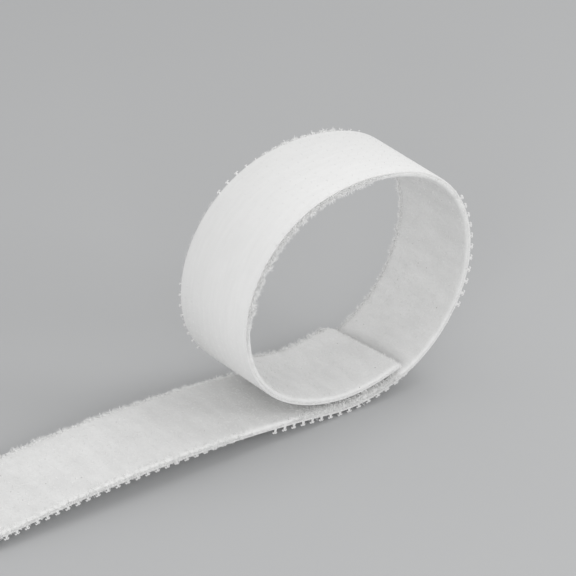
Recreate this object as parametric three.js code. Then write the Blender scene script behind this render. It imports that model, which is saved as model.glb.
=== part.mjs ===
// A cut length of back-to-back hook and loop tape: moulded double hooks on one face, brushed loop pile on the
// other. It is bent into one loop, hooks outside, and its free end is pressed onto its own start, so that the
// start runs on past the loop as a tail. Millimetres, +X from tail to loop, +Y across the tape, +Z up.
import * as THREE from "three";

// Layers of the tape, from the hook face to the loop face
const TAPE_WIDTH = 20;
const FILM_THICKNESS = 0.35;
const BOND_THICKNESS = 0.1;
const FABRIC_THICKNESS = 1.1;

// Hooks: each row is one double hook in profile, moulded in one with the film
const HOOK_PITCH = 2.5;
const HOOK_HEIGHT = 1;
const ROOT_WIDTH = 0.6;
const STEM_WIDTH = 0.34;
const ARM_THICKNESS = 0.21;
const CROOK_RADIUS = 0.1;
const CROWN_NOTCH = 0.16;
const TIP_ANGLE = -25;
const CROWN_ANGLE = 120;
const CROOK_STEPS = 3;
const CROWN_STEPS = 4;
const FIRST_ROW = 1.4;
const END_MARGIN = 0.8;

// Loop, on the face between film and bond; a heading turns from 0 along +X to 90 straight up, and on round
const BASE_RADIUS = 37.5;
const SIDE_RADIUS = 25.4;
const TAIL_HEADING = -7.5;
const SIDE_HEADING = 20;
const TOP_HEADING = 161;
const LEFT_HEADING = 193;
const END_HEADING = 330.5;
const TIP_HEADING = 376;
const TIP_FLAT = 3.6;
const CUT_SKEW = 1.8;

// Tail, from its cut end to where the loop's base begins
const TAIL_LENGTH = 96;
const TAIL_FLAT = 16;

// Fits: the free end's hooks above the base's pile, and the slits at the three flex lines
const SEAT_GAP = 0.3;
const SLIT = 0.3;
const TAIL_CLEARANCE = 2.5;
const OPEN_HEADING = 92;
const PEEL_HEADING = 342;

// Facets on the curves
const FACET_ANGLE = 5;
const FACET_LENGTH = 8;

const HOOK_DEPTH = FILM_THICKNESS + HOOK_HEIGHT;
const CROWN_OFFSET = STEM_WIDTH / 2 + CROOK_RADIUS;
const LOOP_FACE = BOND_THICKNESS + FABRIC_THICKNESS;
const SEAT_DISTANCE = LOOP_FACE + SEAT_GAP + HOOK_DEPTH;

const rad = THREE.MathUtils.degToRad;
const along = (heading) => new THREE.Vector2(Math.cos(heading), Math.sin(heading));
const leftOf = (heading) => new THREE.Vector2(-Math.sin(heading), Math.cos(heading));

/** How far a run has gone at a distance along it: an arc, or a straight if it has no curvature. */
function advance(heading, curvature, distance) {
  if (curvature === 0) return along(heading).multiplyScalar(distance);
  const turned = leftOf(heading).sub(leftOf(heading + curvature * distance));
  return turned.divideScalar(curvature);
}

/** Radii of the top and left arcs that bring the free end down concentric with the base, seated on it. */
function closingRadii() {
  const joins = [SIDE_HEADING, TOP_HEADING, LEFT_HEADING, END_HEADING];
  const [side, top, left, end] = joins.map((heading) => leftOf(rad(heading)));
  const overTop = top.clone().sub(left);
  const overLeft = left.clone().sub(end);
  const rest = side.clone().multiplyScalar(BASE_RADIUS - SIDE_RADIUS);
  rest.addScaledVector(top, SIDE_RADIUS).addScaledVector(end, SEAT_DISTANCE - BASE_RADIUS);
  const area = overTop.cross(overLeft);
  return { top: rest.cross(overLeft) / area, left: overTop.cross(rest) / area };
}

/** The angle that the tail's arch turns through, so that its first hooks lie level with the loop's lowest. */
function tailSweep() {
  const leave = rad(TAIL_HEADING);
  const arch = TAIL_LENGTH - TAIL_FLAT;
  const flat = TAIL_FLAT - FIRST_ROW + CROWN_OFFSET;
  const lowest = BASE_RADIUS * (Math.cos(leave) - 1) - HOOK_DEPTH;
  const drop = (sweep) => {
    const start = leave + sweep;
    const rise = flat * Math.sin(start) + advance(start, -sweep / arch, arch).y;
    return rise + lowest + HOOK_DEPTH * Math.cos(start);
  };
  let [low, high] = [0, Math.PI / 2];
  while (high - low > 1e-9) {
    const middle = (low + high) / 2;
    if (drop(middle) > 0) high = middle;
    else low = middle;
  }
  return low;
}

/** The tape's path from the tail's cut end to the free end's, as tangent runs in the XZ plane. */
function tapeRuns() {
  const radii = closingRadii();
  const sweep = tailSweep();
  const arch = TAIL_LENGTH - TAIL_FLAT;
  const arc = (radius, from, to) => ({ curvature: 1 / radius, length: radius * rad(to - from) });
  const runs = [
    { curvature: 0, length: TAIL_FLAT },
    { curvature: -sweep / arch, length: arch },
    arc(BASE_RADIUS, TAIL_HEADING, SIDE_HEADING),
    arc(SIDE_RADIUS, SIDE_HEADING, TOP_HEADING),
    arc(radii.top, TOP_HEADING, LEFT_HEADING),
    arc(radii.left, LEFT_HEADING, END_HEADING),
    arc(BASE_RADIUS - SEAT_DISTANCE, END_HEADING, TIP_HEADING),
    { curvature: 0, length: TIP_FLAT },
  ];
  let [start, point, heading] = [0, new THREE.Vector2(), rad(TAIL_HEADING) + sweep];
  for (const run of runs) {
    Object.assign(run, { start, point, heading });
    start += run.length;
    point = point.clone().add(advance(heading, run.curvature, run.length));
    heading += run.curvature * run.length;
  }
  return runs;
}

const RUNS = tapeRuns();
const LAST_RUN = RUNS.at(-1);
const TAPE_LENGTH = LAST_RUN.start + LAST_RUN.length;

/** Point and heading of the tape at a distance from the tail's cut end. */
function tapeAt(distance) {
  const run = RUNS.findLast((r) => distance >= r.start) ?? RUNS[0];
  const into = distance - run.start;
  const point = run.point.clone().add(advance(run.heading, run.curvature, into));
  return { point, heading: run.heading + run.curvature * into };
}

/** A point off the tape's path: a positive offset goes towards the pile, a negative one to the hooks. */
function offsetAt(distance, offset) {
  const { point, heading } = tapeAt(distance);
  return point.addScaledVector(leftOf(heading), offset);
}

/** Where the loop's path has a heading, as a distance from the tail's cut end. */
function distanceAtHeading(degrees) {
  const run = RUNS.findLast((r) => r.curvature > 0 && r.heading <= rad(degrees));
  return run.start + (rad(degrees) - run.heading) / run.curvature;
}

/** The place midway between the hook rows on either side of a distance. */
function betweenRows(distance) {
  const row = Math.floor((distance - FIRST_ROW) / HOOK_PITCH);
  return FIRST_ROW + (row + 0.5) * HOOK_PITCH;
}

/** Distances at which a stretch has its facet edges. */
function facetStations(from, to) {
  const inner = RUNS.flatMap((run) => {
    if (run.curvature === 0) return [run.start];
    const turned = Math.abs(run.curvature * run.length);
    const count = Math.ceil(Math.max(turned / rad(FACET_ANGLE), run.length / FACET_LENGTH));
    return Array.from({ length: count }, (_, i) => run.start + (i * run.length) / count);
  });
  return [from, ...inner.filter((s) => s > from + SLIT && s < to - SLIT), to];
}

/** Half of a double hook's outline from root to crown: distance along the tape, then height off the film. */
function hookHalf() {
  const crown = CROOK_RADIUS + ARM_THICKNESS;
  const centre = new THREE.Vector2(CROWN_OFFSET, HOOK_HEIGHT - crown);
  const arc = (radius, from, to, steps) =>
    Array.from({ length: steps + 1 }, (_, i) => {
      const spoke = along(rad(from + ((to - from) * i) / steps));
      return spoke.multiplyScalar(radius).add(centre);
    });
  return [
    new THREE.Vector2(ROOT_WIDTH / 2, 0),
    ...arc(CROOK_RADIUS, 180, TIP_ANGLE, CROOK_STEPS),
    ...arc(crown, TIP_ANGLE, CROWN_ANGLE, CROWN_STEPS),
  ];
}

/** The outline of one double hook, from the root nearer the cut end round to the root nearer the tail. */
function hookOutline() {
  const half = hookHalf();
  const mirrored = half.map((p) => new THREE.Vector2(-p.x, p.y)).reverse();
  return [...half, new THREE.Vector2(0, HOOK_HEIGHT - CROWN_NOTCH), ...mirrored];
}

/** Rows of hooks that a stretch has room for, from its far end back. */
function rowsBack(from, to) {
  const rows = [];
  for (let s = FIRST_ROW; s < to - END_MARGIN; s += HOOK_PITCH) {
    if (s > from + END_MARGIN) rows.unshift(s);
  }
  return rows;
}

/** A closed outline of a plain layer between two offsets from the path. */
function layerOutline(stretch, low, high) {
  const stations = facetStations(stretch.from, stretch.to);
  const lower = stations.map((s) => offsetAt(s, low));
  const upper = stations.map((s) => offsetAt(s, high)).reverse();
  return [...lower, ...upper];
}

/** The closed outline of the hook film with its rows of hooks. */
function hookStripOutline(stretch) {
  const stations = facetStations(stretch.from, stretch.to);
  const profile = hookOutline();
  const hooks = rowsBack(stretch.from, stretch.to - stretch.skew).flatMap((row) => {
    const { point, heading } = tapeAt(row);
    const root = point.addScaledVector(leftOf(heading), -FILM_THICKNESS);
    const place = (p) => root.clone().addScaledVector(along(heading), p.x).addScaledVector(leftOf(heading), -p.y);
    return profile.map(place);
  });
  const face = [offsetAt(stretch.to, -FILM_THICKNESS), ...hooks, offsetAt(stretch.from, -FILM_THICKNESS)];
  return [...stations.map((s) => offsetAt(s, 0)), ...face];
}

/** Draws the far edge of the free end's cut back, because the cut isn't quite square. */
function skewCut(geometry, stretch, pivot) {
  const { point, heading } = tapeAt(stretch.to);
  const tangent = along(heading);
  const reach = point.sub(pivot).dot(tangent) - stretch.skew / 2;
  const position = geometry.getAttribute("position");
  for (let i = 0; i < position.count; i += 1) {
    const here = new THREE.Vector2(position.getX(i), position.getZ(i));
    if (position.getY(i) < 0 || here.dot(tangent) < reach) continue;
    here.addScaledVector(tangent, -stretch.skew);
    position.setX(i, here.x).setZ(i, here.y);
  }
}

/** One layer of a stretch as a mesh, its outline drawn about the pivot of the stretch. */
function layerMesh(name, outline, stretch, pivot, material) {
  const shape = new THREE.Shape(outline.map((p) => p.clone().sub(pivot)));
  const geometry = new THREE.ExtrudeGeometry(shape, { depth: TAPE_WIDTH, bevelEnabled: false, steps: 1 });
  geometry.rotateX(Math.PI / 2).translate(0, TAPE_WIDTH / 2, 0);
  if (stretch.skew > 0) skewCut(geometry, stretch, pivot);
  geometry.computeVertexNormals();
  const mesh = new THREE.Mesh(geometry, material);
  mesh.name = name;
  return mesh;
}

const FABRIC = new THREE.MeshStandardMaterial({ color: 0xe8e8e5, roughness: 0.95, metalness: 0 });
const BOND = new THREE.MeshStandardMaterial({ color: 0xdedcd4, roughness: 0.6, metalness: 0 });
const HOOK_PLASTIC = new THREE.MeshStandardMaterial({ color: 0xeff0ee, roughness: 0.45, metalness: 0 });

/** The three layers of a stretch, in a group whose origin is the flex line that the stretch bends on. */
function stretchGroup(stretch, parentPivot) {
  const { name, pivot } = stretch;
  const group = new THREE.Group();
  group.name = name;
  group.position.set(pivot.x - parentPivot.x, 0, pivot.y - parentPivot.y);
  const fabric = layerOutline(stretch, BOND_THICKNESS, LOOP_FACE);
  const bond = layerOutline(stretch, 0, BOND_THICKNESS);
  group.add(
    layerMesh(name + "_loop_fabric", fabric, stretch, pivot, FABRIC),
    layerMesh(name + "_bond_film", bond, stretch, pivot, BOND),
    layerMesh(name + "_hook_strip", hookStripOutline(stretch), stretch, pivot, HOOK_PLASTIC),
  );
  return group;
}

/** The flex line of the tail: the last place between rows that lies clear to the left of the whole loop. */
function tailFlex() {
  const loopLeft = offsetAt(distanceAtHeading(270), -HOOK_DEPTH).x;
  let distance = betweenRows(distanceAtHeading(TAIL_HEADING));
  while (tapeAt(distance).point.x > loopLeft - TAIL_CLEARANCE) distance -= HOOK_PITCH;
  return distance;
}

const flex = {
  tail: tailFlex(),
  band: betweenRows(distanceAtHeading(OPEN_HEADING)),
  end: betweenRows(distanceAtHeading(PEEL_HEADING)),
};
const after = (distance) => distance + SLIT / 2;
const before = (distance) => distance - SLIT / 2;

// Each stretch bends on the face that its flex line closes: the pile on tail and free end, the hooks on the band.
const tail = { name: "tail", from: 0, to: before(flex.tail), skew: 0, pivot: offsetAt(flex.tail, LOOP_FACE) };
const base = { name: "base", from: after(flex.tail), to: before(flex.band), skew: 0, pivot: new THREE.Vector2() };
const band = { name: "band", from: after(flex.band), to: before(flex.end), skew: 0 };
band.pivot = offsetAt(flex.band, -HOOK_DEPTH);
const end = { name: "end", from: after(flex.end), to: TAPE_LENGTH, skew: CUT_SKEW };
end.pivot = offsetAt(flex.end, LOOP_FACE);

const tape = new THREE.Group();
tape.name = "hook_and_loop_tape";
const baseGroup = stretchGroup(base, base.pivot);
const bandGroup = stretchGroup(band, base.pivot);
bandGroup.add(stretchGroup(end, band.pivot));
baseGroup.add(stretchGroup(tail, base.pivot), bandGroup);
tape.add(baseGroup);

// The part's origin is the middle of its underside, on the surface that it lies on.
const bounds = new THREE.Box3().setFromObject(tape);
baseGroup.position.set(-(bounds.min.x + bounds.max.x) / 2, 0, -bounds.min.z);

export default tape;
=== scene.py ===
import math
import random

import bmesh
import bpy
import numpy as np
from mathutils import Matrix, Quaternion, Vector, noise


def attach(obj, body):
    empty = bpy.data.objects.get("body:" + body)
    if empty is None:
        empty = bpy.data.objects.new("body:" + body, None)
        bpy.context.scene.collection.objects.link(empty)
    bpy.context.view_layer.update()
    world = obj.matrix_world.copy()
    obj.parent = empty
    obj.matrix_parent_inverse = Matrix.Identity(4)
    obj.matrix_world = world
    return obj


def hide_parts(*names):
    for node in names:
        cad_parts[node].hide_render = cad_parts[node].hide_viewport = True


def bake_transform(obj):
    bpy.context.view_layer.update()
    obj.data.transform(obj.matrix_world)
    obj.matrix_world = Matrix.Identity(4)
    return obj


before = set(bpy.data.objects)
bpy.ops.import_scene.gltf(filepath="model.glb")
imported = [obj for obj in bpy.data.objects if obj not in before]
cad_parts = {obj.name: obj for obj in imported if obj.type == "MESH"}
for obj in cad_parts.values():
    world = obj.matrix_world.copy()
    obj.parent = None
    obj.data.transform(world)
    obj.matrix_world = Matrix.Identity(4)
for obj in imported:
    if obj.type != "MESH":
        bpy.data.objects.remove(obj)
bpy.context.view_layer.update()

# Hook strip: the outer face of the tape, a film of white nylon with double hooks moulded in one with it.
# It is cast in straight lanes and slit to width a little askew, so along each edge a lane of hooks comes in,
# moves away from it and gives way to the next. It is made flat, as on the line, and then bent into the loop.
TAPE_WIDTH = 0.020
FILM_THICKNESS = 0.00035
FILM_ROUNDINGS = (0.0002, 0.00004)
ROUNDING_SEGMENTS = 3
BEND_STEP = 0.001
SHARP_ANGLE = math.radians(50)
HOOK_SEED = 11
HOOK_PITCH = 0.0025
FIRST_ROW = 0.0014
ROW_COUNT = 114
LANE_PITCH = 0.00175
HOOK_WIDTH = 0.0002
LEAST_WIDTH = HOOK_WIDTH / 3
HOOK_HEIGHT = 0.001
LEAST_HEIGHT = 0.96
HOOK_ROOT = 0.0006
ROOT_DEPTH = FILM_THICKNESS / 4
HOOK_STEM = 0.00034
ARM_THICKNESS = 0.00021
CROOK_RADIUS = 0.0001
CROWN_NOTCH = 0.00022
STEM_ANGLE, TIP_ANGLE, CROWN_ANGLE = 180, -30, 112
CROOK_STEPS, CROWN_STEPS = 4, 6
HOOK_LEAN = math.radians(3)
FILM_WHITE = (0.86, 0.86, 0.855, 1)
FILM_SHADE = (0.825, 0.825, 0.82, 1)
# The hooks' tone: milky nylon, and darker than the film as painted shade that offsets the light their crowns
# catch.
HOOK_MILK_AND_SHADE = (0.77, 0.77, 0.765, 1)
# Painted shade on the cut edges: the film is greyed over a narrow band at each slit.
SLIT_PAINTED_SHADE = (0.77, 0.77, 0.765, 1)
SLIT_SHADE_BAND = 0.0004
FILM_DRAW = (0.15, 1, 1)
FILM_BLOTCHES = 900
FILM_GRAIN = 5200
FILM_ROUGHNESS = (0.75, 0.60)
BLOTCH_RANGE = (0.3, 0.7)

# The slit's wander: at distances along the tape, how far the lanes have moved in from its near edge.
SLIT_PLACES = (0, 0.030, 0.062, 0.079, 0.114, 0.133, 0.156, 0.168, 0.176, 0.212, 0.2165, 0.228, 0.232, 0.250,
               0.256, 0.290)
SLIT_SHIFTS = (-0.0017, -0.00135, -0.00105, 0, 0.00065, 0.00175, 0.0026, 0.0026, 0.0025, 0.00248, 0.00268,
               0.00268, 0.0025, 0.0025, 0.0032, 0.0034)

# The hooks' wear: at distances along the tape, how much of their height is left. Round the loop's top and
# left they are rubbed down to nubs, less so within the rim margin of a slit edge, where they show in
# outline. The lane at the near edge is whole as far as the tooth stop.
WEAR_PLACES, WEAR_HEIGHTS = (0.148, 0.166, 0.262, 0.274), (1, 0.08, 0.08, 1)
RIM_PLACES = (0.160, 0.172, 0.2035, 0.2055, 0.212, 0.2155, 0.230, 0.236, 0.252, 0.262)
RIM_HEIGHTS = (1, 0.35, 0.35, 0.75, 0.75, 0.4, 0.4, 0.5, 0.5, 1)
RIM_MARGIN = 0.0007
TOOTH_STOP = 0.1605

# Its path, on the film's inner face: length and radius of each run, from the tail's cut end to the free end.
# The tail's long run bends the other way from the loop, so its radius is negative.
PATH_X, PATH_Z, PATH_HEADING = -0.06569, 0.00123, math.radians(5.81)
PATH_RUNS = [
    (0.016, math.inf),
    (0.080, -0.3444),
    (0.0375 * math.radians(27.5), 0.0375),
    (0.0254 * math.radians(141), 0.0254),
    (0.04194 * math.radians(32), 0.04194),
    (0.02386 * math.radians(137.5), 0.02386),
    (0.03465 * math.radians(45.5), 0.03465),
    (0.0036, math.inf),
]
TAPE_LENGTH = sum(length for length, radius in PATH_RUNS)
CUT_REACH = 0.0036
CUT_SKEW = 0.0018
CUT_CORNER = 0.0024
CORNER_WEAR = 0.8

# The stretches it is made in: each crosses one flex line at most, and has a reach given on both sides of that
# line.
SIDE_START, TOP_START, END_START = 0.09265, 0.19015, 0.23265
STRETCHES = {
    "tail": {"start": 0, "stop": SIDE_START, "bodies": ["tail", "base"],
             "flex": 0.06765, "reach": 0.0105},
    "side": {"start": SIDE_START, "stop": TOP_START, "bodies": ["base", "band"],
             "flex": 0.14515, "reach": 0.016},
    "top": {"start": TOP_START, "stop": END_START, "bodies": ["band"]},
    "end": {"start": END_START, "stop": TAPE_LENGTH, "bodies": ["band", "end"],
            "flex": 0.26515, "reach": 0.008},
}


def tape_path(distance):
    """Place and heading of the path at distances from the tail's cut end, straight on beyond both ends."""
    rest = np.asarray(distance, float)
    x, z, heading = (np.full(rest.shape, value) for value in (PATH_X, PATH_Z, PATH_HEADING))
    for number, (length, radius) in enumerate(PATH_RUNS):
        lowest = -np.inf if number == 0 else 0
        highest = np.inf if number == len(PATH_RUNS) - 1 else length
        into = np.clip(rest, lowest, highest)
        turn = into / radius
        chord = into * np.sinc(turn / 2 / np.pi)
        x += chord * np.cos(heading + turn / 2)
        z += chord * np.sin(heading + turn / 2)
        heading += turn
        rest = rest - length
    return x, z, heading


def path_point(distance):
    """One point of the path, in the middle of the tape's width."""
    x, z, heading = tape_path(distance)
    return Vector((float(x), 0, float(z)))


def bend_to_path(mesh):
    """Bends a mesh that was made flat, X along the tape and Z towards its pile, onto the path."""
    flat = np.empty(len(mesh.vertices) * 3)
    mesh.vertices.foreach_get("co", flat)
    along, across, off = flat.reshape(-1, 3).T
    x, z, heading = tape_path(along)
    bent = np.stack([x - off * np.sin(heading), across, z + off * np.cos(heading)], axis=1)
    mesh.vertices.foreach_set("co", bent.ravel())
    mesh.update()


def trim_free_end(bm):
    """Cuts the free end as the scissors did: a little askew, and worn round at its far corner."""
    for vert in bm.verts:
        share = (vert.co.x - TAPE_LENGTH + CUT_REACH) / CUT_REACH
        if share <= 0:
            continue
        skew = CUT_SKEW * (vert.co.y / TAPE_WIDTH + 0.5)
        past = min(max(vert.co.y - TAPE_WIDTH / 2 + CUT_CORNER, 0), CUT_CORNER)
        corner = CUT_CORNER - math.sqrt(CUT_CORNER**2 - past**2)
        vert.co.x -= min(share, 1) * (skew + CORNER_WEAR * corner)


def long_edges(bm, length):
    """The edges that run the length of a strip."""
    return [edge for edge in bm.edges if abs(edge.verts[0].co.x - edge.verts[1].co.x) > length / 2]


def wide_edges(bm):
    """The edges that run across the tape's width."""
    return [edge for edge in bm.edges if abs(edge.verts[0].co.y - edge.verts[1].co.y) > TAPE_WIDTH / 2]


def flat_strip(stretch, low, high, roundings, step, across=0):
    """A flat strip of one layer, its lower and upper long edges rounded, cut crosswise for the bends."""
    length = stretch["stop"] - stretch["start"]
    middle = (low + high) / 2
    bm = bmesh.new()
    bmesh.ops.create_cube(bm, size=1)
    bmesh.ops.scale(bm, vec=(length, TAPE_WIDTH, high - low), verts=bm.verts)
    bmesh.ops.translate(bm, vec=(stretch["start"] + length / 2, 0, middle), verts=bm.verts)
    for upper, radius in zip((False, True), roundings):
        edges = [edge for edge in long_edges(bm, length) if (edge.verts[0].co.z > middle) == upper]
        bmesh.ops.bevel(bm, geom=edges, offset=radius, segments=ROUNDING_SEGMENTS, profile=0.5,
                        affect="EDGES", material=-1)
    bmesh.ops.subdivide_edges(bm, edges=long_edges(bm, length), cuts=round(length / step), use_grid_fill=True)
    if across:
        bmesh.ops.subdivide_edges(bm, edges=wide_edges(bm), cuts=across, use_grid_fill=True)
    return bm


def mesh_of(bm, name):
    """Turns a bmesh into a named mesh, and frees it."""
    mesh = bpy.data.meshes.new(name)
    bm.to_mesh(mesh)
    bm.free()
    return mesh


def add_object(name, data):
    """Puts a mesh, a lamp or a camera into the scene as a named object."""
    made = bpy.data.objects.new(name, data)
    bpy.context.scene.collection.objects.link(made)
    return made


def finish_piece(bm, name, stretch, material):
    """Turns a flat bmesh into a named piece on the path, with its flat length, width and depth as UV maps."""
    if stretch["stop"] == TAPE_LENGTH:
        trim_free_end(bm)
    bmesh.ops.recalc_face_normals(bm, faces=bm.faces)
    tape, ply = (bm.loops.layers.uv.new(layer) for layer in ("tape", "ply"))
    for face in bm.faces:
        face.smooth = True
        for loop in face.loops:
            loop[tape].uv = (loop.vert.co.x, loop.vert.co.y + TAPE_WIDTH / 2)
            loop[ply].uv = (loop.vert.co.z, 0)
    mesh = mesh_of(bm, name)
    bend_to_path(mesh)
    mesh.set_sharp_from_angle(angle=SHARP_ANGLE)
    mesh.materials.append(material)
    piece = add_object(name, mesh)
    return piece


def hold(piece, stretch):
    """Fixes a piece to the body that its stretch lies on; a piece whose stretch joins two bodies stays where
    it was made.
    """
    bodies = stretch["bodies"]
    if len(bodies) == 1:
        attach(piece, bodies[0])
    else:
        near, far = stretch["flex"] - stretch["reach"], stretch["flex"] + stretch["reach"]
        path_point(near)
        path_point(far)
        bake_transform(piece)


def fill_inputs(tree, node, inputs):
    """Fills the inputs of a node, each with a value or with a link from another node's socket."""
    for name, value in inputs.items():
        if isinstance(value, bpy.types.NodeSocket):
            tree.links.new(value, node.inputs[name])
        else:
            node.inputs[name].default_value = value


def add_node(tree, kind, inputs=None, **settings):
    """Adds a shader node, with its settings and its inputs."""
    made = tree.nodes.new("ShaderNode" + kind)
    for name, value in settings.items():
        setattr(made, name, value)
    fill_inputs(tree, made, inputs or {})
    return made


def map_range(tree, value, source=(0, 1), target=(0, 1)):
    """Stretches a value from one range onto another."""
    limits = dict(zip(("From Min", "From Max", "To Min", "To Max"), (*source, *target)))
    return add_node(tree, "MapRange", {"Value": value, **limits}).outputs["Result"]


def calculate(tree, operation, *values):
    """One step of arithmetic on values."""
    return add_node(tree, "Math", dict(enumerate(values)), operation=operation).outputs["Value"]


def calculate_vector(tree, operation, *vectors):
    """One step of arithmetic on vectors."""
    return add_node(tree, "VectorMath", dict(enumerate(vectors)), operation=operation).outputs["Vector"]


def mix_colour(tree, share, first, second):
    """Mixes two colours by a share. Several of the node's sockets share a name, so these go by number."""
    return add_node(tree, "Mix", {0: share, 6: first, 7: second}, data_type="RGBA").outputs[2]


def new_material(name):
    """A material with a bare Principled BSDF, and its node tree."""
    material = bpy.data.materials.new(name)
    material.use_nodes = True
    return material, material.node_tree


def set_shader(material, **sockets):
    """Fills the shader's sockets: what varies over the surface by a link, the rest by a plain value."""
    shader = material.node_tree.nodes["Principled BSDF"]
    inputs = {name.replace("_", " "): value for name, value in sockets.items()}
    fill_inputs(material.node_tree, shader, inputs)
    return material


def mottle_group():
    """Shared by all the plies: soft blotches between a shade and a white, given also as a value."""
    tree = bpy.data.node_groups.new("nylon_mottle", "ShaderNodeTree")
    for name, kind in (("Vector", "Vector"), ("Scale", "Float"), ("Shade", "Color"), ("White", "Color")):
        tree.interface.new_socket(name, in_out="INPUT", socket_type="NodeSocket" + kind)
    for name, kind in (("Color", "Color"), ("Value", "Float")):
        tree.interface.new_socket(name, in_out="OUTPUT", socket_type="NodeSocket" + kind)
    given, out = tree.nodes.new("NodeGroupInput").outputs, tree.nodes.new("NodeGroupOutput")
    blotch = add_node(tree, "TexNoise", {"Vector": given["Vector"], "Scale": given["Scale"],
                                         "Detail": 4, "Roughness": 0.6})
    spread = map_range(tree, blotch.outputs["Fac"], BLOTCH_RANGE)
    colour = mix_colour(tree, spread, given["Shade"], given["White"])
    fill_inputs(tree, out, {"Color": colour, "Value": spread})
    return tree


nylon_mottle = mottle_group()


def place_mottle(tree, vector, scale, shade, white):
    """Places the shared mottle in a material with that material's own values, and gives its outputs."""
    inputs = {"Vector": vector, "Scale": scale, "Shade": shade, "White": white}
    return add_node(tree, "Group", inputs, node_tree=nylon_mottle).outputs


def hook_nylon():
    """Moulded nylon: white with a soft gloss; milkier up the hooks, with painted shade up them and along the
    slits.
    """
    material, tree = new_material("hook_nylon")
    place = add_node(tree, "UVMap", uv_map="tape").outputs["UV"]
    drawn = calculate_vector(tree, "MULTIPLY", place, FILM_DRAW)
    mottle = place_mottle(tree, drawn, FILM_BLOTCHES, FILM_SHADE, FILM_WHITE)
    depth = add_node(tree, "SeparateXYZ", {"Vector": add_node(tree, "UVMap", uv_map="ply").outputs["UV"]})
    rise = map_range(tree, depth.outputs["X"], (-FILM_THICKNESS, -FILM_THICKNESS - HOOK_HEIGHT / 2))
    across = add_node(tree, "SeparateXYZ", {"Vector": place})
    # The mask below lays painted shade over the band nearest each slit edge.
    inward = calculate(tree, "SUBTRACT", across.outputs["Y"], TAPE_WIDTH / 2)
    outward = calculate(tree, "ABSOLUTE", inward)
    slit = map_range(tree, outward, (TAPE_WIDTH / 2 - SLIT_SHADE_BAND, TAPE_WIDTH / 2))
    film = mix_colour(tree, slit, mottle["Color"], SLIT_PAINTED_SHADE)
    # Up the hooks the colour goes to their milky tone, darkened as painted shade against the light the crowns
    # catch.
    colour = mix_colour(tree, rise, film, HOOK_MILK_AND_SHADE)
    gloss = map_range(tree, mottle["Value"], target=FILM_ROUGHNESS)
    grain = add_node(tree, "TexNoise", {"Vector": place, "Scale": FILM_GRAIN, "Detail": 2})
    bump = add_node(tree, "Bump", {"Height": grain.outputs["Fac"], "Strength": 0.25, "Distance": 0.00004})
    return set_shader(material, Base_Color=colour, Roughness=gloss, Normal=bump.outputs["Normal"],
                      Specular_IOR_Level=0.2)


def arc_points(centre, radius, start, stop, steps):
    """Points round an arc in the XZ plane, angles in degrees from +X."""
    angles = [math.radians(start + (stop - start) * step / steps) for step in range(steps + 1)]
    return [centre + radius * Vector((math.cos(angle), 0, math.sin(angle))) for angle in angles]


def add_copy(bm, mesh, place):
    """Adds a copy of a small mesh to a bmesh, moved to its place."""
    copy = mesh.copy()
    copy.transform(place)
    bm.from_mesh(copy)
    bpy.data.meshes.remove(copy)


def hook_plate():
    """One double hook as a plate of unit width: its palm-tree outline is drawn out across the tape."""
    crown = CROOK_RADIUS + ARM_THICKNESS
    centre = Vector((HOOK_STEM / 2 + CROOK_RADIUS, 0, HOOK_HEIGHT - crown))
    half = [Vector((HOOK_ROOT / 2, 0, -ROOT_DEPTH)), Vector((HOOK_ROOT / 2, 0, 0))]
    half += arc_points(centre, CROOK_RADIUS, STEM_ANGLE, TIP_ANGLE, CROOK_STEPS)
    half += arc_points(centre, crown, TIP_ANGLE, CROWN_ANGLE, CROWN_STEPS)
    outline = half + [Vector((0, 0, HOOK_HEIGHT - CROWN_NOTCH))]
    outline += [Vector((-point.x, 0, point.z)) for point in reversed(half)]
    bm = bmesh.new()
    side = bm.faces.new([bm.verts.new(point) for point in outline])
    drawn = bmesh.ops.extrude_face_region(bm, geom=[side])["geom"]
    verts = [part for part in drawn if isinstance(part, bmesh.types.BMVert)]
    bmesh.ops.translate(bm, vec=(0, 1, 0), verts=verts)
    bmesh.ops.translate(bm, vec=(0, -0.5, 0), verts=bm.verts)
    bmesh.ops.rotate(bm, cent=(0, 0, 0), matrix=Matrix.Rotation(math.pi, 3, "X"), verts=bm.verts)
    return mesh_of(bm, "hook_plate")


def add_hook_row(bm, plate, row, chance):
    """Adds the hooks of one row, each in its lane, cut through at a slit edge and worn to its height."""
    half = TAPE_WIDTH / 2
    worn = np.interp(row, WEAR_PLACES, WEAR_HEIGHTS)
    rim = np.interp(row, RIM_PLACES, RIM_HEIGHTS)
    lane = np.interp(row, SLIT_PLACES, SLIT_SHIFTS) % LANE_PITCH - half
    while lane < half + HOOK_WIDTH:
        low, high = max(lane - HOOK_WIDTH / 2, -half), min(lane + HOOK_WIDTH / 2, half)
        if high - low > LEAST_WIDTH:
            lean = Matrix.Rotation(chance.gauss(0, HOOK_LEAN), 4, "Y")
            height = rim if half - abs(lane) < RIM_MARGIN else worn
            if row < TOOTH_STOP and lane < LANE_PITCH / 2 - half:
                height = 1
            size = Matrix.Diagonal((height, high - low, height * chance.uniform(LEAST_HEIGHT, 1), 1))
            foot = Matrix.Translation((row, (low + high) / 2, -FILM_THICKNESS))
            add_copy(bm, plate, foot @ lean @ size)
        lane += LANE_PITCH


hook_plastic = hook_nylon()
plate = hook_plate()
chance = random.Random(HOOK_SEED)
for part, stretch in STRETCHES.items():
    bm = flat_strip(stretch, -FILM_THICKNESS, 0, FILM_ROUNDINGS, BEND_STEP)
    for number in range(ROW_COUNT):
        row = FIRST_ROW + number * HOOK_PITCH
        if stretch["start"] < row < stretch["stop"]:
            add_hook_row(bm, plate, row, chance)
    strip = finish_piece(bm, "hook_strip_" + part, stretch, hook_plastic)
    hold(strip, stretch)
    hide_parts(*[body + "_hook_strip" for body in stretch["bodies"]])
bpy.data.meshes.remove(plate)

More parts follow.
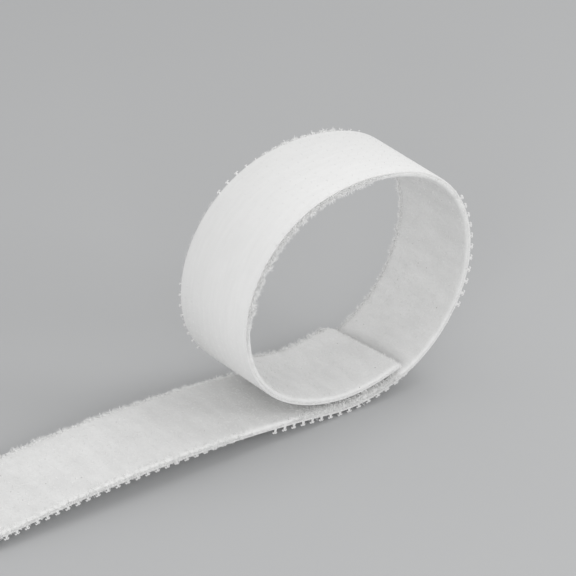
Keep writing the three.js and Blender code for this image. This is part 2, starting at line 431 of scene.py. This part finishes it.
# Bond film: the adhesive that laminates the two faces of the tape back to back, a tenth of a millimetre
# thick. It is rolled on hot, and shows only as a fine, slightly warmer line along the slit edges.
BOND_THICKNESS = 0.0001
BOND_ROUNDINGS = (0.00002, 0.00002)
BOND_MILK = (0.88, 0.875, 0.86, 1)
BOND_SHADE = (0.84, 0.835, 0.82, 1)
BOND_BLOTCHES = 700
BOND_ROUGHNESS = (0.62, 0.48)


def mottled_finish(name, blotches, shade, white, roughness, **constants):
    """A mottled white of so many blotches to the metre, glossier where it is whiter."""
    material, tree = new_material(name)
    place = add_node(tree, "TexCoord").outputs["Object"]
    mottle = place_mottle(tree, place, blotches, shade, white)
    gloss = map_range(tree, mottle["Value"], target=roughness)
    return set_shader(material, Base_Color=mottle["Color"], Roughness=gloss, **constants)


def bond_adhesive():
    """Set hot-melt adhesive: milky, smooth, and cloudier in places."""
    return mottled_finish("bond_adhesive", BOND_BLOTCHES, BOND_SHADE, BOND_MILK, BOND_ROUGHNESS,
                          Subsurface_Weight=0.2, Subsurface_Scale=0.0005, Subsurface_Radius=(1, 1, 1))


adhesive = bond_adhesive()
for part, stretch in STRETCHES.items():
    bm = flat_strip(stretch, 0, BOND_THICKNESS, BOND_ROUNDINGS, BEND_STEP)
    bond = finish_piece(bm, "bond_film_" + part, stretch, adhesive)
    hold(bond, stretch)
    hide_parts(*[body + "_bond_film" for body in stretch["bodies"]])

# Loop fabric: the inner face of the tape, a warp knit of fine white nylon, brushed so that its loops stand up
# as a soft pile. It is bonded to the back of the hook film and slit with it, and its pile swells over the
# edges.
FABRIC_THICKNESS = 0.0011
FABRIC_ROUNDINGS = (0.00012, 0.0005)
FABRIC_STEP = 0.0005
FABRIC_CUTS = 39
PILE_FACE = BOND_THICKNESS + FABRIC_THICKNESS
PILE_DEPTH = 0.0001
NAP_SWELL = 0.00007
EDGE_ROLL = 0.00015
EDGE_SWELL = 0.0001
EDGE_WANDER = 0.00012
ROOT_SWELL = 0.6
PILE_WHITE = (0.79, 0.79, 0.785, 1)
PILE_SHADE = (0.71, 0.71, 0.705, 1)
# Painted shade for the gaps between the pile's loops, where shade falls.
PILE_GAP_SHADE = (0.66, 0.66, 0.655, 1)
PILE_ROUGHNESS = (0.82, 1)
PILE_BRUSH = (1, 0.4, 1)
PILE_BLOTCHES = 300
PILE_GRAIN = 6500
LOOP_CELLS = 2300
CELL_RANGE = (0.25, 0.75)
GAP_DEPTH = 0.2
STRAY_CELLS = 1500
STRAY_REACH = (0.0005, 0.0005, 0)
LINT_CELLS = 165
LINT_SIZE = 0.016
LINT_RARITY = 0.62
SPECK_GREY = (0.30, 0.29, 0.28, 1)

# The pile's lumps and the edges' wander: coarse and fine ripples to the metre, and the fine ones' share. The
# edge starts to roll over and to swell at these shares of the half width.
NAP_RIPPLES = (420, 950, 0.6)
EDGE_RIPPLES = (600, 1300, 0.7)
ROLL_START, ROLL_WIDTH = 0.8, 0.2
SWELL_START = 0.93


def ripple(place, coarse, fine, share):
    """Smooth noise at two scales."""
    return noise.noise(place * coarse) + share * noise.noise(place * fine)


def brush_pile(bm):
    """Raises the pile in soft lumps, and lets the slit edges wander, as the brushing leaves them."""
    for vert in bm.verts:
        across = 2 * abs(vert.co.y) / TAPE_WIDTH
        height = max(vert.co.z - BOND_THICKNESS, 0) / FABRIC_THICKNESS
        place = Vector((vert.co.x, vert.co.y, 0))
        roll = max(across - ROLL_START, 0) / ROLL_WIDTH
        vert.co.z += (NAP_SWELL * ripple(place, *NAP_RIPPLES) - EDGE_ROLL * roll**2) * height
        if across > SWELL_START:
            swell = EDGE_SWELL + EDGE_WANDER * ripple(place, *EDGE_RIPPLES)
            vert.co.y += math.copysign(swell * min(ROOT_SWELL + height, 1), vert.co.y)


def loop_pile():
    """Brushed nylon loops: soft cells, painted shade in the gaps between them, a faint mottle and a few
    specks of lint.
    """
    material, tree = new_material("loop_pile")
    place = add_node(tree, "UVMap", uv_map="tape").outputs["UV"]
    brushed = calculate_vector(tree, "MULTIPLY", place, PILE_BRUSH)
    mottle = place_mottle(tree, brushed, PILE_BLOTCHES, PILE_SHADE, PILE_WHITE)
    stray = add_node(tree, "TexNoise", {"Vector": place, "Scale": STRAY_CELLS, "Detail": 3})
    bent = calculate_vector(tree, "MULTIPLY", stray.outputs["Color"], STRAY_REACH)
    loops = calculate_vector(tree, "ADD", place, bent)
    cell = add_node(tree, "TexVoronoi", {"Vector": loops, "Scale": LOOP_CELLS, "Smoothness": 0.6},
                    feature="SMOOTH_F1", voronoi_dimensions="2D")
    # The gap mask darkens the colour as painted shade, and also sets the roughness and sinks the bump.
    shaded_gap = map_range(tree, cell.outputs["Distance"], CELL_RANGE, (0, GAP_DEPTH))
    nylon = mix_colour(tree, shaded_gap, mottle["Color"], PILE_GAP_SHADE)
    lint = add_node(tree, "TexVoronoi", {"Vector": place, "Scale": LINT_CELLS}, voronoi_dimensions="2D")
    near = calculate(tree, "LESS_THAN", lint.outputs["Distance"], LINT_SIZE)
    pick = add_node(tree, "SeparateColor", {"Color": lint.outputs["Color"]})
    few = calculate(tree, "GREATER_THAN", pick.outputs["Red"], LINT_RARITY)
    speck = calculate(tree, "MULTIPLY", near, few)
    colour = mix_colour(tree, speck, nylon, SPECK_GREY)
    rough = map_range(tree, shaded_gap, (0, GAP_DEPTH), PILE_ROUGHNESS)
    fibres = add_node(tree, "TexNoise", {"Vector": place, "Scale": PILE_GRAIN,
                                         "Detail": 3, "Distortion": 1.2})
    height = calculate(tree, "SUBTRACT", fibres.outputs["Fac"], shaded_gap)
    bump = add_node(tree, "Bump", {"Height": height, "Strength": 0.3, "Distance": 0.00012})
    return set_shader(material, Base_Color=colour, Roughness=rough, Normal=bump.outputs["Normal"],
                      Sheen_Weight=0.25, Sheen_Roughness=0.45, Specular_IOR_Level=0.25)


pile = loop_pile()
fabrics = {}
for part, stretch in STRETCHES.items():
    bm = flat_strip(stretch, BOND_THICKNESS, PILE_FACE - PILE_DEPTH, FABRIC_ROUNDINGS, FABRIC_STEP,
                    FABRIC_CUTS)
    brush_pile(bm)
    fabrics[part] = finish_piece(bm, "loop_fabric_" + part, stretch, pile)
    hold(fabrics[part], stretch)
    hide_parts(*[body + "_loop_fabric" for body in stretch["bodies"]])

# Pile loops: the loops themselves, arches of one fine filament that the brushing has pulled up out of the
# knit all over its face. They lean every way. Where the free end is pressed on, its hooks have drawn them up
# into taller, coarser ones.
PILE_SEED = 23
FIBRE_SIDES = 3
FIBRE_RADIUS = 0.00003
LOOP_RADII = (0.00013, 0.00017, 0.00021)
LOOP_STEPS = 5
LOOP_SWEEP = math.radians(210)
LOOP_RISES = (0.8, 1.2)
LOOP_LEAN = 0.6
PATCH_LENGTH, PATCH_WIDTH = 0.0025, 0.005
PATCH_LANES = 4
LANE_OVERLAP = 0.97
PATCH_SINK = 0.00006
PATCH_LOOPS = 22
PATCH_KINDS = 6
SEAT_START, SEAT_STOP = 0.088, 0.116
SEAT_SLOPE = 0.012
SEAT_LEAST = 0.3
DRAWN_RADIUS = 0.00005
DRAWN_RADII = (0.0002, 0.00027, 0.00034)
DRAWN_LOOPS = 52
DRAWN_HEIGHT = 2.4
DRAWN_LEAN = 0.35
FIBRE_WHITE = (0.86, 0.86, 0.855, 1)
FIBRE_SHADE = (0.79, 0.79, 0.785, 1)
FIBRE_BLOTCHES = 1800
FIBRE_ROUGHNESS = (0.55, 0.35)


def pile_filament():
    """Single nylon filaments: clear white, with a soft sheen along them."""
    return mottled_finish("pile_filament", FIBRE_BLOTCHES, FIBRE_SHADE, FIBRE_WHITE, FIBRE_ROUGHNESS,
                          Sheen_Weight=0.2, Sheen_Roughness=0.4, Specular_IOR_Level=0.5)


def pile_loop(radius, fibre_radius):
    """One loop: a filament turned through a little more than half a circle, both feet in the knit."""
    bm = bmesh.new()
    bmesh.ops.create_circle(bm, cap_ends=True, segments=FIBRE_SIDES, radius=fibre_radius)
    bmesh.ops.translate(bm, vec=(-radius, 0, 0), verts=bm.verts)
    start = Matrix.Rotation((math.pi - LOOP_SWEEP) / 2, 3, "Y")
    bmesh.ops.rotate(bm, cent=(0, 0, 0), matrix=start, verts=bm.verts)
    bmesh.ops.spin(bm, geom=bm.faces[:], cent=(0, 0, 0), axis=(0, 1, 0), angle=LOOP_SWEEP, steps=LOOP_STEPS)
    return mesh_of(bm, "pile_loop")


def pile_patch(loops, count, rise, lean, chance):
    """A small patch of the pile: loops scattered over it, each turned and leaning its own way."""
    bm = bmesh.new()
    for number in range(count):
        x, y = chance.uniform(-0.5, 0.5) * PATCH_LENGTH, chance.uniform(-0.5, 0.5) * PATCH_WIDTH
        turn = Matrix.Rotation(chance.uniform(0, math.tau), 4, "Z")
        tip = Matrix.Rotation(chance.gauss(0, lean), 4, "X")
        size = Matrix.Diagonal((1, 1, rise * chance.uniform(*LOOP_RISES), 1))
        add_copy(bm, chance.choice(loops), Matrix.Translation((x, y, 0)) @ turn @ tip @ size)
    return mesh_of(bm, "pile_patch")


filament = pile_filament()
chance = random.Random(PILE_SEED)
loops = [pile_loop(radius, FIBRE_RADIUS) for radius in LOOP_RADII]
drawn_loops = [pile_loop(radius, DRAWN_RADIUS) for radius in DRAWN_RADII]
patches = [pile_patch(loops, PATCH_LOOPS, 1, LOOP_LEAN, chance) for kind in range(PATCH_KINDS)]
drawn = [pile_patch(drawn_loops, DRAWN_LOOPS, DRAWN_HEIGHT, DRAWN_LEAN, chance)
         for kind in range(PATCH_KINDS)]
half_turns = [Matrix.Rotation(angle, 4, "Z") for angle in (0, math.pi)]
pile_loops = {}
for part, stretch in STRETCHES.items():
    bm = bmesh.new()
    length = stretch["stop"] - stretch["start"]
    count = round(length / PATCH_LENGTH)
    for number in range(count):
        x = stretch["start"] + (number + 0.5) * length / count
        for lane in range(PATCH_LANES):
            y = (lane - (PATCH_LANES - 1) / 2) * LANE_OVERLAP * PATCH_WIDTH
            spot = Matrix.Translation((x, y, PILE_FACE - PILE_DEPTH - PATCH_SINK))
            kinds = drawn if SEAT_START < x < SEAT_STOP else patches
            height = min(max((x - SEAT_START) / SEAT_SLOPE, SEAT_LEAST), 1) if kinds is drawn else 1
            rise = Matrix.Diagonal((1, 1, height, 1))
            add_copy(bm, chance.choice(kinds), spot @ rise @ chance.choice(half_turns))
    pile_loops[part] = finish_piece(bm, "pile_loops_" + part, stretch, filament)
    hold(pile_loops[part], stretch)
for mesh in loops + drawn_loops + patches + drawn:
    bpy.data.meshes.remove(mesh)

# Edge fuzz: along the slit edges and the cut ends the knit is cut open, and its filaments stand out in soft
# clumps, longer in some places than in others. They are the fabric's own, still knitted into it at the root.
FUZZ_SEED = 37
FUZZ_RADIUS = 0.00005
FUZZ_STEPS = 2
FUZZ_TAPER = 0.8
FUZZ_CURLS = (-0.6, -0.3, 0.2, 0.45, 0.8)
FUZZ_SWAY = 0.0003
FUZZ_TOP = 0.00085
FUZZ_TILT = 0.45
FUZZ_REACHES = (0.6, 1.3)
# The fuzz's tones sit a little above the pile filaments' as painted light, against the shade its fibres cast
# on each other.
FUZZ_LIFTED_WHITE = (0.89, 0.89, 0.885, 1)
FUZZ_LIFTED_SHADE = (0.82, 0.82, 0.815, 1)
FUZZ_ROUGHNESS = (0.7, 0.5)
TUFT_LENGTH = 0.0025
TUFT_CLUMPS = 7
TUFT_KINDS = 5
CLUMP_SWING = 0.4
CLUMP_REACHES = (0.5, 1.4)
TOP_INSET = 0.0008
FILM_INSET, FABRIC_INSET = 0.0001, -0.00015
FRINGE_FADE = 0.008
FADE_LEAST = 0.3

# Its styles: a filament's reach, its lift at the pile and its droop at the foot, the bulge of a tuft's
# middle, the lowest root, a clump's spread along the edge and its tangle, and the filaments in it.
FUZZ_STYLES = {
    "upright": {"reach": 0.0008, "lift": 0.9, "droop": 0, "bulge": 0, "low": 0.00015,
                "spread": 0.00014, "tangle": 0.45, "fibres": 23},
    "rubbed": {"reach": 0.00045, "lift": 1.4, "droop": -0.2, "bulge": 0, "low": 0.00015,
               "spread": 0.00014, "tangle": 0.45, "fibres": 23},
    "ruffled": {"reach": 0.0007, "lift": 1.3, "droop": -0.3, "bulge": 0, "low": 0.00035,
                "spread": 0.00014, "tangle": 0.45, "fibres": 16},
    "trimmed": {"reach": 0.00022, "lift": 1.6, "droop": -0.5, "bulge": 0, "low": 0.00015,
                "spread": 0.00014, "tangle": 0.45, "fibres": 7},
    "splayed": {"reach": 0.00065, "lift": 1.9, "droop": 0.5, "bulge": 0.35, "low": 0,
                "spread": 0.0002, "tangle": 0.8, "fibres": 44},
    "scalloped": {"reach": 0.00045, "lift": 1.6, "droop": 1, "bulge": 0.35, "low": -0.0003,
                  "spread": 0.00014, "tangle": 0.45, "fibres": 30},
}

# Where each style lies on an edge: from and to which distance along the tape.
NEAR_FRINGE = [(-math.inf, 0.080, "rubbed"), (0.080, 0.121, "ruffled"), (0.121, 0.182, "trimmed"),
               (0.182, 0.237, "splayed"), (0.237, math.inf, "trimmed")]
FAR_FRINGE = [(-math.inf, 0.172, "upright"), (0.172, 0.2045, "scalloped"), (0.2045, 0.252, "rubbed"),
              (0.252, math.inf, "upright")]
CUT_FRINGE = [(-math.inf, math.inf, "rubbed")]


def edge_filament():
    """Loose nylon filaments in a tangle: white, lifted a little above the pile filaments as painted light,
    with a soft sheen along them.
    """
    return mottled_finish("edge_filament", FIBRE_BLOTCHES, FUZZ_LIFTED_SHADE, FUZZ_LIFTED_WHITE, FUZZ_ROUGHNESS,
                          Sheen_Weight=0.2, Sheen_Roughness=0.4, Specular_IOR_Level=0.3)


def fuzz_fibre(curl):
    """One filament of unit length: tapering to its tip, and curling a little more at each step."""
    bm = bmesh.new()
    bmesh.ops.create_circle(bm, cap_ends=True, segments=FIBRE_SIDES, radius=FUZZ_RADIUS)
    tip = bm.faces[:][0]
    for step in range(FUZZ_STEPS):
        grown = bmesh.ops.extrude_face_region(bm, geom=[tip])["geom"]
        verts = [part for part in grown if isinstance(part, bmesh.types.BMVert)]
        tip = next(part for part in grown if isinstance(part, bmesh.types.BMFace))
        centre = Matrix.Translation(-tip.calc_center_median())
        bmesh.ops.scale(bm, vec=(FUZZ_TAPER, FUZZ_TAPER, 1), space=centre, verts=verts)
        sway = FUZZ_SWAY * math.sin(curl * (step + 0.5))
        bmesh.ops.translate(bm, vec=(sway, 0, 1 / FUZZ_STEPS), verts=verts)
    return mesh_of(bm, "fuzz_fibre")


def fuzz_tuft(fibres, style, chance):
    """A short length of the near edge's fringe: clumps of filaments out of the knit, some over its pile."""
    bm = bmesh.new()
    for clump in range(TUFT_CLUMPS):
        middle = ((clump + chance.random()) / TUFT_CLUMPS - 0.5) * TUFT_LENGTH
        swing = chance.gauss(0, CLUMP_SWING)
        bulge = 1 + style["bulge"] * math.cos(math.tau * middle / TUFT_LENGTH)
        reach = style["reach"] * bulge * chance.uniform(*CLUMP_REACHES)
        for number in range(style["fibres"]):
            height = chance.random()
            depth = style["low"] + height * (FUZZ_TOP - style["low"])
            inset = TOP_INSET * height**2 + (FILM_INSET if depth < 0 else FABRIC_INSET)
            root = Vector((middle + chance.gauss(0, style["spread"]), inset, depth))
            size = Matrix.Diagonal((1, 1, reach * chance.uniform(*FUZZ_REACHES), 1))
            roll = Matrix.Rotation(chance.uniform(0, math.tau), 4, "Z")
            tilt = chance.gauss(style["lift"] * height - style["droop"], FUZZ_TILT)
            rise = Matrix.Rotation(math.pi / 2 - tilt, 4, "X")
            yaw = Matrix.Rotation(swing + chance.gauss(0, style["tangle"]), 4, "Z")
            add_copy(bm, chance.choice(fibres), Matrix.Translation(root) @ yaw @ rise @ roll @ size)
    return mesh_of(bm, "fuzz_tuft")


def add_fringe(bm, tufts, fringe, corner, run, turn, chance):
    """Adds tufts in a row from a corner of the tape, in the style that the fringe has at each distance."""
    count = round(run.length / TUFT_LENGTH)
    for number in range(count):
        spot = corner + run * ((number + 0.5) / count)
        start, stop, style = next(span for span in fringe if spot.x < span[1])
        fade = min(max(min(spot.x - start, stop - spot.x) / FRINGE_FADE, FADE_LEAST), 1)
        size = Matrix.Diagonal((1, fade, fade, 1))
        place = Matrix.Translation(spot) @ Matrix.Rotation(turn, 4, "Z") @ size
        add_copy(bm, chance.choice(tufts[style]), place)


loose = edge_filament()
chance = random.Random(FUZZ_SEED)
fibres = [fuzz_fibre(curl) for curl in FUZZ_CURLS]
tufts = {}
for name, style in FUZZ_STYLES.items():
    tufts[name] = [fuzz_tuft(fibres, style, chance) for kind in range(TUFT_KINDS)]
for part, stretch in STRETCHES.items():
    bm = bmesh.new()
    length = stretch["stop"] - stretch["start"]
    along, across = Vector((length, 0, 0)), Vector((0, TAPE_WIDTH, 0))
    near = Vector((stretch["start"], -TAPE_WIDTH / 2, 0))
    add_fringe(bm, tufts, NEAR_FRINGE, near, along, 0, chance)
    add_fringe(bm, tufts, FAR_FRINGE, near + across, along, math.pi, chance)
    if part == "tail":
        add_fringe(bm, tufts, CUT_FRINGE, near, across, -math.pi / 2, chance)
    if part == "end":
        add_fringe(bm, tufts, CUT_FRINGE, near + along, across, math.pi / 2, chance)
    fuzz = finish_piece(bm, "edge_fuzz_" + part, stretch, loose)
    hold(fuzz, stretch)
for mesh in sum(tufts.values(), fibres):
    bpy.data.meshes.remove(mesh)

# Floor: a plain pale sheet of studio board that the tape stands on. It is matt and barely clouded, so that
# little shows on it but the tape's soft shadow.
FLOOR_SIZE = 3
FLOOR_SEGMENTS = 4
FLOOR_GREY = (0.50, 0.505, 0.51, 1)
FLOOR_SHADE = (0.48, 0.485, 0.49, 1)
FLOOR_CLOUDS = 9


def studio_board():
    """Matt pale board with the faintest clouding."""
    material, tree = new_material("studio_board")
    place = add_node(tree, "TexCoord").outputs["Object"]
    cloud = add_node(tree, "TexNoise", {"Vector": place, "Scale": FLOOR_CLOUDS, "Detail": 2})
    colour = mix_colour(tree, cloud.outputs["Fac"], FLOOR_SHADE, FLOOR_GREY)
    return set_shader(material, Base_Color=colour, Roughness=0.9, Specular_IOR_Level=0.1)


bm = bmesh.new()
bmesh.ops.create_grid(bm, x_segments=FLOOR_SEGMENTS, y_segments=FLOOR_SEGMENTS, size=FLOOR_SIZE)
floor = add_object("floor", mesh_of(bm, "floor"))
floor.data.materials.append(studio_board())

# Light: three soft boxes, one high at the right over the loop's top, one low at the front left that fills the
# loop's inside and one at the front right, in an even pale room.
BOXES = {
    "top_box": {"power": 0.50, "place": Vector((0.27, 0, 0.465))},
    "left_box": {"power": 0.87, "place": Vector((-0.32, -0.34, 0.155))},
    "right_box": {"power": 0.51, "place": Vector((0.32, -0.35, 0.23))},
}
BOX_SIZE = 0.25
BOX_AIM = Vector((0.02, 0, 0.03))
ROOM_WHITE = (1, 1, 1, 1)
ROOM_LIGHT = 0.65

for name, given in BOXES.items():
    box = add_object(name, bpy.data.lights.new(name, "AREA"))
    box.data.energy = given["power"]
    box.data.size = BOX_SIZE
    box.location = given["place"]
    box.rotation_mode = "QUATERNION"
    box.rotation_quaternion = (given["place"] - BOX_AIM).to_track_quat("Z", "Y")
room = bpy.data.worlds.new("room")
room.use_nodes = True
walls = room.node_tree.nodes["Background"]
fill_inputs(room.node_tree, walls, {"Color": ROOM_WHITE, "Strength": ROOM_LIGHT})
bpy.context.scene.world = room
bpy.context.scene.view_settings.view_transform = "Standard"

# Camera: a long lens from the front left and above, tipped a little to one side. It looks at the loop from
# about a metre away.
VIEW_AZIMUTH, VIEW_ELEVATION, VIEW_ROLL = (math.radians(angle) for angle in (-42.78, 29.85, 4.64))
VIEW_DISTANCE = 1.056
VIEW_TARGET = Vector((0.0265, 0.0017, 0.0262))
LENS = 332.2

back = Vector((math.sin(VIEW_AZIMUTH) * math.cos(VIEW_ELEVATION),
               -math.cos(VIEW_AZIMUTH) * math.cos(VIEW_ELEVATION), math.sin(VIEW_ELEVATION)))
camera = add_object("camera", bpy.data.cameras.new("camera"))
camera.data.lens = LENS
camera.location = VIEW_TARGET + back * VIEW_DISTANCE
camera.rotation_mode = "QUATERNION"
camera.rotation_quaternion = back.to_track_quat("Z", "Y") @ Quaternion((0, 0, 1), VIEW_ROLL)
bpy.context.scene.camera = camera
